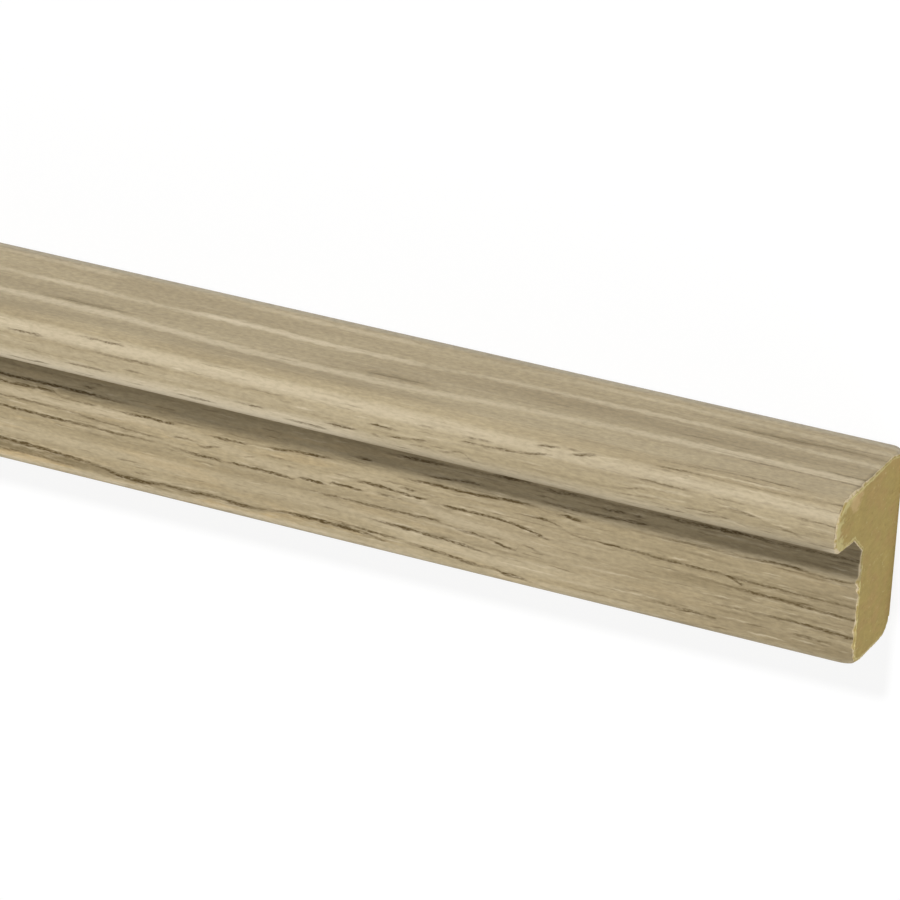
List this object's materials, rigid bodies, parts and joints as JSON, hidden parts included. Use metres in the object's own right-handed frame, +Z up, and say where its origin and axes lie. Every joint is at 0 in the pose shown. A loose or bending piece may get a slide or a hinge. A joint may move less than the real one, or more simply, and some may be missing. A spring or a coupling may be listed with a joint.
{
  "type": "panel end profile",
  "caption": "Straight wood-look trim moulding with a flange that goes behind a wall panel and a rounded nose that covers the panel's cut edge; fibreboard wrapped in printed foil.",
  "frame": {"origin": "centre of the box's underside, on the back face that the stock lies on", "axes": "+X along the stock, +Y across it towards the nose, +Z up from the back face to the nose's front"},
  "size_m": [2.6, 0.022, 0.0194],
  "materials": {
    "mdf": "raw medium-density fibreboard, sawn ends and sanded back",
    "oak_foil": "matte printed foil, greyish oak grain running along the stock"
  },
  "bodies": {
    "root": {"mdf_core": "mdf", "decor_foil": "oak_foil"}
  },
  "joints": []
}
